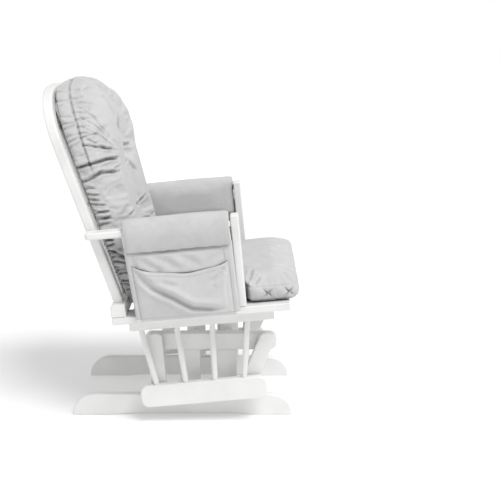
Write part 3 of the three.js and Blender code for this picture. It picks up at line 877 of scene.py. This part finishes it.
# %% The seat cover before filling
def seat_cover():
    rings = []
    x, u = OUTLINE.T
    cx, cu = SEAT_MIDDLE
    shares = 1 - np.linspace(0, 1, 22)[1:-1]
    for share in shares[::-1]:
        tucked = share * FOOT_TUCK
        rings.append(on_seat(cx + (x - cx) * tucked, cu + (u - cu) * tucked, SEAT_FOOT))
    for v in np.linspace(SEAT_FOOT, BAND_HEIGHT, 8):
        rise = (v - SEAT_FOOT) / (BAND_HEIGHT - SEAT_FOOT)
        belly = 3.0 * math.sin(math.pi * rise) - 9.0 * (1 - rise) ** 3
        share = 1 + (belly - 2) / 300
        rings.append(on_seat(cx + (x - cx) * share, cu + (u - cu) * share, v))
    for share in shares:
        px, pu = cx + (x - cx) * share, cu + (u - cu) * share
        rings.append(on_seat(px, pu, BAND_HEIGHT + seat_crown(px, pu)))
    return loft("seat_cushion_cover", rings)


seat_cushion = remeshed(seat_cover(), 5.0)
seat_cushion.name = "seat_cushion_cover"
relaxed(seat_cushion, 0.5, 3)
x, u, v = off_seat(points_of(seat_cushion))
inner = inside_edge(x, u)
held = hill(np.hypot(inner, v - BAND_HEIGHT), 6)
held = np.maximum(held, (v < 7) * 1.0)
filled(seat_cushion, held, pressure=3.0, cap=6, spare=0.015, limp=0.6)
subdivided(seat_cushion)
print("seat cushion:", len(seat_cushion.data.vertices), "points")

# %% Seams, pleats and stitched pulls of the seat cushion
PULL_STEP = 63.0
PULL_HEIGHT = 28.0  # mm, the middle of the band
TOP_GATHERS = 64    # tiny gathers along the top seam


def pulls_along_band():
    """Where stitches pull the band in: along both wings and the front."""
    made = [(side * WING_HALF, u) for side in (-1, 1) for u in (265.0, 327.0)]
    made += [(x, SEAT_FRONT) for x in np.arange(-3.5, 4.0) * PULL_STEP]
    return made


def shape_seat(made):
    x, u, v = off_seat(points_of(made))
    inner = inside_edge(x, u)
    rim = 1 - step(inner, 12, 26)
    top_seam = hill(v - BAND_HEIGHT, 2.6) * rim
    over = hill(np.hypot(inner - 6, v - BAND_HEIGHT - 5), 5.0)
    low_seam = hill(v - 7, 2.4) * rim
    deep = -3.0 * top_seam + 1.4 * over - 2.6 * low_seam
    for px, pu in pulls_along_band():
        away = np.sqrt((x - px) ** 2 + (u - pu) ** 2 + (v - PULL_HEIGHT) ** 2)
        deep -= 7.5 * np.exp(-((away / 7) ** 1.3))
        turn = np.arctan2(v - PULL_HEIGHT, (u - pu) if abs(px) == WING_HALF else (x - px))
        deep -= 5.5 * hill(away, 22) * np.sin(2 * turn) ** 10 * rim
    press(made, deep)


TOP_FOLDS = [  # paths of x and u, then width and depth: by the posts, the front corners and the thighs
    ([(-281, 214), (-262, 232), (-238, 246)], 4.0, 4.5),
    ([(-262, 206), (-236, 214), (-196, 222)], 5.0, 4.0),
    ([(281, 216), (258, 234), (236, 250)], 4.0, 4.0),
    ([(-272, 340), (-246, 322), (-214, 312)], 6.0, 2.6),
    ([(274, 338), (250, 320), (220, 306)], 6.0, 2.6),
    ([(-240, 120), (-200, 150), (-120, 160)], 14.0, 2.4),
    ([(236, 90), (190, 130), (110, 140)], 14.0, 2.4),
    ([(-150, 344), (-140, 310), (-150, 270)], 11.0, 1.8),
    ([(120, 346), (134, 312), (128, 262)], 11.0, 1.8),
]


def top_folds(made):
    """Soft pleats of the top cover, and tiny gathers along its seam."""
    x, u, v = off_seat(points_of(made))
    top = step(v, BAND_HEIGHT + 1, BAND_HEIGHT + 9)
    deep = sum(depth * crease(x, u, path, width) for path, width, depth in TOP_FOLDS)
    start = 0.0
    for _ in range(TOP_GATHERS):
        start += draw.uniform(14, 34)
        spot = OUTLINE[int(start / 12) % len(OUTLINE)]
        way = (np.array(SEAT_MIDDLE) - spot) / np.linalg.norm(np.array(SEAT_MIDDLE) - spot)
        deep = deep + draw.uniform(0.4, 1.2) * crease(
            x, u, [spot, spot + way * draw.uniform(18, 46)], draw.uniform(3, 5), lip=0.1)
    press(made, -deep * top)


def on_the_deck(made):
    """Keeps the cushion's foot on the deck and the side rails."""
    x, u, v = off_seat(points_of(made))
    set_points(made, on_seat(x, u, np.maximum(v, CLEARANCE)))


shape_seat(seat_cushion)
top_folds(seat_cushion)
on_the_deck(seat_cushion)
covered(seat_cushion, SUEDE)
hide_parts("seat_cushion")

# %% [markdown]
# ## The arm pads
# Each arm wears a saddle: foam under suede that wraps over the arm board and hangs down on both sides.
# It is a loft of one section, an upside-down U with a crowned top, drawn in a little at both ends.
# The slot for the board is held still while the foam swells, so the pad never cuts the board.

# %% The arm pad's section
PAD_REAR = -126.0
PAD_FRONT = 174.0
PAD_SECTION = [  # x and v in mm, from the outer flap's foot over the top to the longer inner flap's foot
    (321.4, 193.0), (322.6, 190.4), (325.4, 193.0), (328.8, 204.0), (332.4, 222.0), (334.4, 240.0),
    (333.6, 257.0), (328.4, 272.0), (319.5, 281.0), (308.0, 285.4), (297.0, 286.6), (286.0, 285.2),
    (275.0, 280.6), (267.0, 272.0), (262.7, 258.0), (261.2, 240.0), (260.8, 215.0), (261.2, 185.0),
    (262.4, 168.0), (265.0, 163.8), (269.0, 163.8), (272.4, 167.0), (272.8, 190.0), (272.8, 215.0),
    (272.8, 240.0), (272.8, 259.6), (285.0, 259.9), (309.0, 259.9), (321.2, 259.6), (321.2, 240.0),
    (321.2, 215.0),
]
END_ROUND = 5.0
DRAWN_IN_MOST = 4.6
SLOT_IN, SLOT_OUT, SLOT_TOP = 271.5, 322.6, 262.0  # mm: the faces that touch the arm board lie between these


def drawn_in(ring, by):
    """A ring moved inwards along its own normals."""
    way = np.roll(ring, -1, 0) - np.roll(ring, 1, 0)
    way /= np.linalg.norm(way, axis=1)[:, None]
    area = np.sum(ring[:, 0] * np.roll(ring[:, 1], -1) - np.roll(ring[:, 0], -1) * ring[:, 1])
    inwards = np.stack([-way[:, 1], way[:, 0]], -1) * np.sign(area)
    return ring + inwards * by


def arm_pad(name, side):
    section = closed_curve(np.array(PAD_SECTION), 150)
    rings = []
    middle = np.linspace(PAD_REAR + END_ROUND, PAD_FRONT - END_ROUND, 40)
    ends = END_ROUND * (1 - np.cos(np.linspace(0.15, 1, 6) * math.pi / 2))
    stations = [(PAD_REAR + e, e) for e in ends] + [(u, END_ROUND) for u in middle[1:-1]]
    stations += [(PAD_FRONT - e, e) for e in ends[::-1]]
    for u, e in stations:
        by = END_ROUND - math.sqrt(max(END_ROUND**2 - (END_ROUND - e) ** 2, 0))
        ring = drawn_in(section, min(by, DRAWN_IN_MOST))
        rings.append(on_seat(side * ring[:, 0], u, ring[:, 1]))
    made = remeshed(loft(name, rings), 3.6)
    made.name = name
    relaxed(made, 0.5, 2)
    x, u, v = off_seat(points_of(made))
    x = np.abs(x)
    in_slot = (x > SLOT_IN) & (x < SLOT_OUT) & (v < SLOT_TOP)
    seam = hill(np.minimum(u - PAD_REAR, PAD_FRONT - u) - 5, 3)
    held = np.maximum(in_slot * 1.0, 0.8 * seam)
    filled(made, held, pressure=2.0, cap=3.0, spare=0.0, limp=3.0)
    subdivided(made)
    x, u, v = off_seat(points_of(made))
    from_end = np.minimum(u - PAD_REAR, PAD_FRONT - u)
    outside = 1 - ((np.abs(x) > 272) & (np.abs(x) < 321.8) & (v < 261))
    seam = hill(from_end - 6.0, 1.8)
    ease = 0.7 * np.sin(u / 37.0 + side) * np.sin(v / 41.0 + u / 90.0)
    press(made, outside * (-1.3 * seam + ease))
    return covered(made, SUEDE)


for side, hand in ((-1, "right"), (1, "left")):
    pad = arm_pad("arm_pad_cover_" + hand, side)
    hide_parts("arm_pad_" + hand)
    print(pad.name, len(pad.data.vertices), "points")

# %% [markdown]
# ## The side cloths and their pockets
# A cloth hangs down the outside of each arm, from under the pad to the side rail. Each of its side hems is
# a sleeve over a slim wooden strut. A second cloth is sewn on as a pocket: its mouth sags, its corners are
# gathered, and the loose stuff hangs in swags from corner to corner. Both are sheets, drawn as grids
# of points and given the thickness of the cloth.

# %% Where the struts stand
CLOTH_THICK = 1.0
CLOTH_FOOT = -5.0
CLOTH_TOP = 204.0
STRUT_OUT = 309.5
SLEEVE_ROUND = 9.0
HEM = 17.0


def rear_strut(v):
    return np.interp(v, [-12, 239], [-109, -124])


def front_strut(v):
    return np.interp(v, [-12, 239], [172, 166])


def thickened(made, thick):
    """A grid of points given the thickness of cloth, half to each side, and closed at its edges."""
    change = made.modifiers.new("thick", "SOLIDIFY")
    change.thickness = thick * MM
    change.offset = 0
    settle_modifiers(made)
    face_outwards(made)
    return made


def sheet_piece(name, grid, thick, finish):
    made = piece(name, grid, quads(*grid.shape[:2]))
    return covered(thickened(made, thick), finish)


# %% The side cloth
def sleeve_path(v):
    """The cloth seen from above at height v: u and x from hem to hem, round both struts."""
    rear, front = float(rear_strut(v)), float(front_strut(v))
    turn = np.radians(np.linspace(-62, -270, 22))
    back = np.stack([rear + SLEEVE_ROUND * np.cos(turn), STRUT_OUT + SLEEVE_ROUND * np.sin(turn)], -1)
    turn = np.radians(np.linspace(90, -118, 22))
    ahead = np.stack([front + SLEEVE_ROUND * np.cos(turn), STRUT_OUT + SLEEVE_ROUND * np.sin(turn)], -1)
    flat = np.linspace(rear, front, 90)[1:-1]
    out = np.full_like(flat, STRUT_OUT + SLEEVE_ROUND)
    first = [[rear + HEM, STRUT_OUT + SLEEVE_ROUND - 1.7], [rear + 11, STRUT_OUT + 5.6]]
    last = [[front - 11, STRUT_OUT + 5.6], [front - HEM, STRUT_OUT + SLEEVE_ROUND - 1.7]]
    return np.concatenate([first, back, np.stack([flat, out], -1), ahead, last])


CLOTH_FOLDS = [  # paths of u and v where the cloth above the pocket hangs in folds, width and height
    ([(-112, 186), (-70, 160), (-28, 132)], 7.0, 2.6),
    ([(-60, 188), (-20, 166), (26, 136)], 9.0, 2.4),
    ([(10, 188), (50, 164), (86, 140)], 9.0, 2.0),
    ([(160, 186), (132, 164), (96, 142)], 7.0, 2.4),
]


def above_pocket(v):
    """1 on the cloth between the pocket's mouth and the pad, fading out at both."""
    return float(step(v, 108, 134) * (1 - step(v, 178, 189)))


def spans(grid):
    """How long each row and each column of a grid of points is, in metres."""
    return [np.linalg.norm(np.diff(grid, axis=way), axis=2).sum(way) for way in (1, 0)]


def side_cloth(name, side):
    heights = np.linspace(CLOTH_FOOT, CLOTH_TOP, 70)
    rows = []
    for v in heights:
        path = sleeve_path(v)
        u, x = path.T
        share = (u - rear_strut(v)) / (front_strut(v) - rear_strut(v))
        front_face = (x > STRUT_OUT + SLEEVE_ROUND - 0.01) & (share > 0.07) & (share < 0.93)
        inner = np.sin(np.clip((share - 0.07) / 0.86, 0, 1) * math.pi)
        under_pad = step(v, 120, 150) * (1 - step(v, 176, 188))
        pleats = np.sin(u / 5.2 + 0.9 * np.sin(u / 23.0 + side)) * (1 - step(share, 0.25, 0.5))
        pleats = pleats + 0.5 * np.sin(u / 8.7 + v / 30.0)
        x = x + front_face * inner * (0.5 + 0.9 * under_pad * (1 + pleats) * (1 - step(v, 180, 188)))
        x = x + front_face * inner * 1.2 * np.sin(math.pi * step(v, -8, 186))
        for line, width, height in CLOTH_FOLDS:
            fold = crease(u, v, line, width, lip=0.5, tuck=0.4)
            x = x + front_face * inner**0.4 * height * (0.7 - fold) * above_pocket(v)
        rows.append(on_seat(side * x, u, v))
    grid = np.array(rows)
    made = sheet_piece(name, grid, CLOTH_THICK, SIDE_CLOTH)
    wide, long = (float(span.mean()) for span in spans(grid))
    print(name, "flat", round(wide, 3), "by", round(long, 3))
    return made, (wide, long)


# %% The pocket
MOUTH_REAR = 155.0
MOUTH_FRONT = 149.0
MOUTH_SAG = 27.0
POCKET_FOOT = -4.5
POCKET_BELLY = 17.0
POCKET_WIDE = 270.0
POCKET_TALL = 150.0
POCKET_ROWS = 80
HEM_AT = 0.918  # share of the pocket's height where its mouth is hemmed
SWAGS = [  # paths of shares across and up, from the rear hem forward; width and height in mm
    ([(0, 0.97), (0.06, 0.84), (0.18, 0.66), (0.38, 0.46), (0.57, 0.21), (0.90, 0.07)], 10.0, 9.0),
    ([(0.04, 0.90), (0.24, 0.78), (0.46, 0.72)], 8.0, 2.6),
    ([(0.99, 0.96), (0.90, 0.80), (0.80, 0.70)], 7.0, 4.0),
    ([(0.985, 0.85), (0.955, 0.52), (0.96, 0.10)], 5.0, 3.0),
]


def pocket(name, side):
    share = np.linspace(0, 1, 110)[None, :]
    rise = np.linspace(0, 1, POCKET_ROWS)[:, None]
    chord = MOUTH_REAR + (MOUTH_FRONT - MOUTH_REAR) * share
    swing = (4 * share * (1 - share)) ** 0.75
    mouth = chord - MOUTH_SAG * swing - 2.0 * np.sin(share * 14) * swing
    v = POCKET_FOOT + rise * (mouth - POCKET_FOOT)
    u = rear_strut(v) + 7 + share * (front_strut(v) - rear_strut(v) - 14)
    lean = share - 0.10 * np.sin(math.pi * share)
    hang = (4 * lean * (1 - lean)) ** 0.7
    belly = POCKET_BELLY * hang * (0.22 + 0.78 * np.sin(math.pi * np.clip(0.12 + 0.80 * rise, 0, 1)))
    x = STRUT_OUT + SLEEVE_ROUND + 1.7 + belly
    across, up = np.broadcast_arrays(share * POCKET_WIDE, rise * POCKET_TALL)
    for path, width, height in SWAGS:
        line = np.array(path) * (POCKET_WIDE, POCKET_TALL)
        fold = crease(across, up, line, width, lip=0.45, tuck=0.55)
        x = x - height * fold * np.clip(hang, 0, 1) ** 0.4 * step(rise, 0, 0.10)
    corner = hill(share, 0.10) + hill(1 - share, 0.08)
    x = x + 1.5 * corner * np.sin(v / 6.5 + share * 40) ** 2 * step(rise, 0.45, 0.9)
    hem = step(rise, 0.915, 0.93)
    x = x + 0.7 * hem - 0.8 * hill(rise - HEM_AT, 0.010)
    x = np.maximum(x, STRUT_OUT + SLEEVE_ROUND + 1.5 + 2.2 * np.sin(math.pi * share) ** 0.5)
    edge = 1 - np.clip(np.minimum(share, 1 - share) / 0.03, 0, 1)
    x = x * (1 - edge) + (STRUT_OUT + SLEEVE_ROUND + 1.2) * edge
    grid = on_seat(side * x, u, v)
    made = sheet_piece(name, grid, CLOTH_THICK * 1.2, SIDE_CLOTH)
    wide, long = (float(span.max()) for span in spans(grid))
    print(name, "flat", round(wide, 3), "by", round(long, 3))
    return made, grid, (wide, long)


# %% [markdown]
# Lockstitch shows as a row of short, slightly sunk threads, six or seven in every three centimetres.
# Each stitch is its own little rod with tapered ends, and a whole row is one piece.

# %% Stitches
STITCH = 3.4     # mm long
STITCH_GAP = 1.2
THREAD_ROUND = 0.45


def stitch_bodies(pairs, radius=THREAD_ROUND):
    """Points and faces of one small rod for each pair of ends, both in metres."""
    points, faces = [], []
    turn = np.linspace(0, 2 * math.pi, 6, endpoint=False)
    for start, end in pairs:
        way = (end - start) / np.linalg.norm(end - start)
        other = np.cross(way, [0, 0, 1.0] if abs(way[2]) < 0.9 else [1.0, 0, 0])
        other /= np.linalg.norm(other)
        third = np.cross(way, other)
        first = len(points)
        for share, thick in ((0.0, 0.35), (0.2, 1.0), (0.8, 1.0), (1.0, 0.35)):
            centre = start + (end - start) * share
            for t in turn:
                points.append(centre + (other * math.cos(t) + third * math.sin(t)) * radius * thick * MM)
        for r in range(3):
            for c in range(6):
                a, b = first + r * 6 + c, first + r * 6 + (c + 1) % 6
                faces.append((a, b, b + 6, a + 6))
        faces.append(tuple(first + c for c in range(5, -1, -1)))
        faces.append(tuple(first + 18 + c for c in range(6)))
    return points, faces


def along_line(line):
    """Pairs of stitch ends along a line of points in metres."""
    line = np.asarray(line)
    reached = lengths_along(line) / MM
    pairs = []
    at = STITCH_GAP
    while at + STITCH < reached[-1]:
        ends = [np.array([np.interp(p, reached, line[:, k]) for k in range(3)])
                for p in (at, at + STITCH)]
        pairs.append(ends)
        at += STITCH + STITCH_GAP
    return pairs


def stitched(name, pairs, radius=THREAD_ROUND):
    made = piece(name, *stitch_bodies(pairs, radius))
    face_outwards(made)
    return covered(made, THREAD_FINISH)


# %% Both sides
def side_line(side, u_of, out, low, high):
    """A line of points up the cloth at a distance in from a strut."""
    heights = np.linspace(low, high, 40)
    return on_seat(side * (STRUT_OUT + SLEEVE_ROUND + out), u_of(heights), heights)


for side, hand in ((-1, "right"), (1, "left")):
    cloth, cloth_flat = side_cloth("side_cloth_" + hand, side)
    bag, bag_grid, bag_flat = pocket("pocket_" + hand, side)
    seams = along_line(bag_grid[int(POCKET_ROWS * HEM_AT)] + np.array([side * 0.6 * MM, 0, 0]))
    seams += along_line(bag_grid[2] + np.array([side * 0.7 * MM, 0, 0]))
    seams += along_line(side_line(side, lambda v: rear_strut(v) + HEM - 2, 0.9, MOUTH_REAR + 2, 186))
    seams += along_line(side_line(side, lambda v: front_strut(v) - HEM + 2, 0.9, MOUTH_FRONT + 2, 186))
    rows = stitched("pocket_stitches_" + hand, seams)
    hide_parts("side_pocket_" + hand)

# %% [markdown]
# ## The tie tapes
# Four tapes sewn to the back cushion's rear hold it to the two outer slats. Each is a flat woven tape: a loop
# round the slat and a bow behind it, drawn as two flattened rings, a knot and two ends that hang down.

# %% Tie tapes
TAPE_WIDE = 9.0
TAPE_THICK = 1.2
SLAT_AT = 162.0
SLAT_WIDE = 38.0
SLAT_FRONT = -8.4
SLAT_REAR = -20.4
TIE_HEIGHTS = (548.0, 318.0)


def ribbon(line, wide_way, closed):
    """A flat tape along a line of (x, v, d) points, as rings of four corners."""
    line = np.asarray(line, float)
    ahead = np.roll(line, -1, 0) - np.roll(line, 1, 0)
    if not closed:
        ahead[0], ahead[-1] = line[1] - line[0], line[-1] - line[-2]
    thick_way = np.cross(ahead, wide_way)
    thick_way /= np.linalg.norm(thick_way, axis=1)[:, None]
    wide = np.asarray(wide_way) * TAPE_WIDE / 2
    rings = [np.stack([at - wide - t, at + wide - t, at + wide + t, at - wide + t])
             for at, t in zip(line, thick_way * TAPE_THICK / 2)]
    return np.array(rings)


def slat_loop(v):
    """The loop round one slat, seen from above: a rectangle with round corners."""
    half_x, half_d = SLAT_WIDE / 2 + 1.0, (SLAT_FRONT - SLAT_REAR) / 2 + 1.0
    turn = np.linspace(0, 2 * math.pi, 48, endpoint=False)
    x = half_x * np.sign(np.cos(turn)) * np.abs(np.cos(turn)) ** 0.25
    d = half_d * np.sign(np.sin(turn)) * np.abs(np.sin(turn)) ** 0.25
    return np.stack([SLAT_AT + x, np.full_like(x, v), (SLAT_FRONT + SLAT_REAR) / 2 + d], -1)


def bow_ring(v, hand):
    """One half of the bow: a long drop that droops to its own side."""
    turn = np.linspace(0, 2 * math.pi, 30, endpoint=False)
    out = 13.0 * (1 - np.cos(turn))
    x = SLAT_AT + hand * out
    return np.stack([x, v - 0.018 * out**2, SLAT_REAR - 7.0 + 3.2 * np.sin(turn)], -1)


def bow_end(v, hand, long):
    """One end of the tape, hanging down behind the slat."""
    t = np.linspace(0, 1, 14)
    x = SLAT_AT + hand * (3 + 13 * t)
    return np.stack([x, v - 3 - long * t, SLAT_REAR - 5.0 - 3.0 * np.sin(2.2 * t)], -1)


def knot_rings(v):
    """The knot: a small lumpy ball of tape."""
    rings = []
    for tall in np.linspace(-0.5 * math.pi, 0.5 * math.pi, 10)[1:-1]:
        turn = np.linspace(0, 2 * math.pi, 16, endpoint=False)
        r = 5.6 * math.cos(tall) * (1 + 0.13 * np.sin(3 * turn + 2 * tall))
        rings.append(np.stack([SLAT_AT + 1.1 * r * np.cos(turn), np.full_like(turn, v + 5.2 * math.sin(tall)),
                               SLAT_REAR - 6.5 + 0.8 * r * np.sin(turn)], -1))
    return np.array(rings)


def tie(name, v, side, seed):
    long = np.random.default_rng(seed).uniform(42, 64, 2)
    upright, across = (0.0, 1.0, 0.0), (1.0, 0.0, 0.0)
    bodies = [(ribbon(slat_loop(v), upright, True), True), (knot_rings(v), False)]
    for hand, reach in zip((-1, 1), long):
        bodies.append((ribbon(bow_ring(v, hand), upright, True), True))
        bodies.append((ribbon(bow_end(v, hand, reach), across, False), False))
    points, faces = [], []
    for body, closed in bodies:
        rows, columns = body.shape[:2]
        first = len(points)
        points += off_hoop(side * body[..., 0], body[..., 1], body[..., 2]).reshape(-1, 3).tolist()
        faces += [tuple(first + k for k in face) for face in quads(rows, columns, True)]
        last = first + (rows - 1) * columns
        if closed:
            faces += [(last + c, last + (c + 1) % columns, first + (c + 1) % columns, first + c)
                      for c in range(columns)]
        else:
            faces.append(tuple(first + c for c in range(columns)))
            faces.append(tuple(last + c for c in range(columns - 1, -1, -1)))
    made = piece(name, points, faces)
    face_outwards(made)
    covered(made, SIDE_CLOTH)


for number, (v, side) in enumerate([(v, side) for side in (-1, 1) for v in TIE_HEIGHTS]):
    tie(f"tie_tape_{number + 1}", v, side, 30 + number)
print("four tie tapes knotted")
